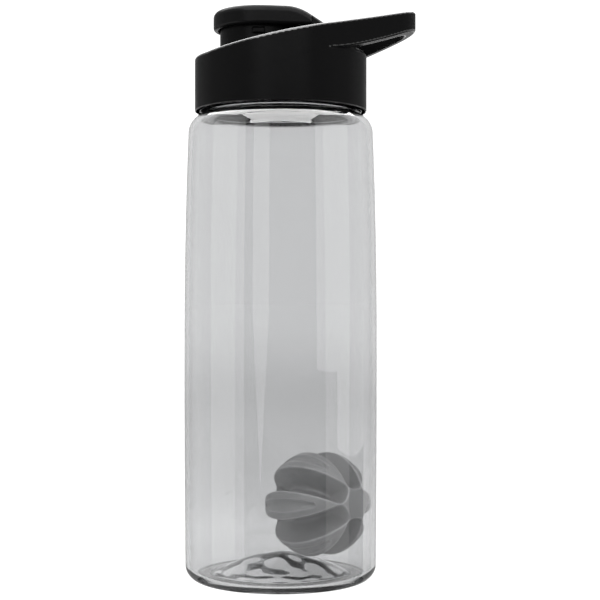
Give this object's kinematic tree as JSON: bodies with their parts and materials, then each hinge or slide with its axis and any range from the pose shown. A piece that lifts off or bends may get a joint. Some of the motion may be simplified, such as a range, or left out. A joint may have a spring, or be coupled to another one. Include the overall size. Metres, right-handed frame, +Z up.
{
  "type": "protein shaker bottle",
  "caption": "Clear shaker bottle with a domed base, a black screw-on lid with a carry loop, a flip cap over a round spout, and a loose ribbed mixing ball inside.",
  "frame": {"origin": "on the surface the bottle stands on, under the middle of the whole footprint, carry loop included; the bottle's own axis is the line X = -0.0076, Y = 0", "axes": "+Z up along the bottle's axis; +X towards the carry loop; -Y is the side seen in the picture"},
  "size_m": [0.0914, 0.0762, 0.2235],
  "materials": {
    "clear_plastic": "clear, light smoke grey, polished",
    "lid_black": "satin black, fine moulded texture",
    "cap_black": "satin black, fine moulded texture",
    "silicone": "dull dark silicone",
    "pin_steel": "drawn wire",
    "ball_grey": "satin mid grey"
  },
  "bodies": {
    "bottle": {"bottle": "clear_plastic"},
    "gasket": {"lid_gasket": "silicone"},
    "lid": {"lid": "lid_black", "hinge_pin": "pin_steel"},
    "cap": {"flip_cap": "cap_black", "spout_seal": "silicone"},
    "ball": {"mixing_ball": "ball_grey"}
  },
  "joints": [
    {"name": "lid_rise", "type": "slide", "parent": "bottle", "child": "gasket", "axis": [0, 0, 1], "range_m": [0, 0.0157]},
    {"name": "lid_turn", "type": "hinge", "parent": "gasket", "child": "lid", "pos_m": [-0.0076, 0, 0.19], "axis": [0, 0, 1], "range_deg": [0, 936]},
    {"name": "cap_flip", "type": "hinge", "parent": "lid", "child": "cap", "pos_m": [0.0089, 0, 0.21177], "axis": [0, 1, 0], "range_deg": [0, 105]},
    {"name": "ball_lift", "type": "slide", "parent": "bottle", "child": "ball", "axis": [-0.0984, 0, 0.9951], "range_m": [0, 0.1499]}
  ],
  "couplings": [
    {"joint": "lid_rise", "follows": "lid_turn", "m_per_rad": 0.00095493}
  ]
}
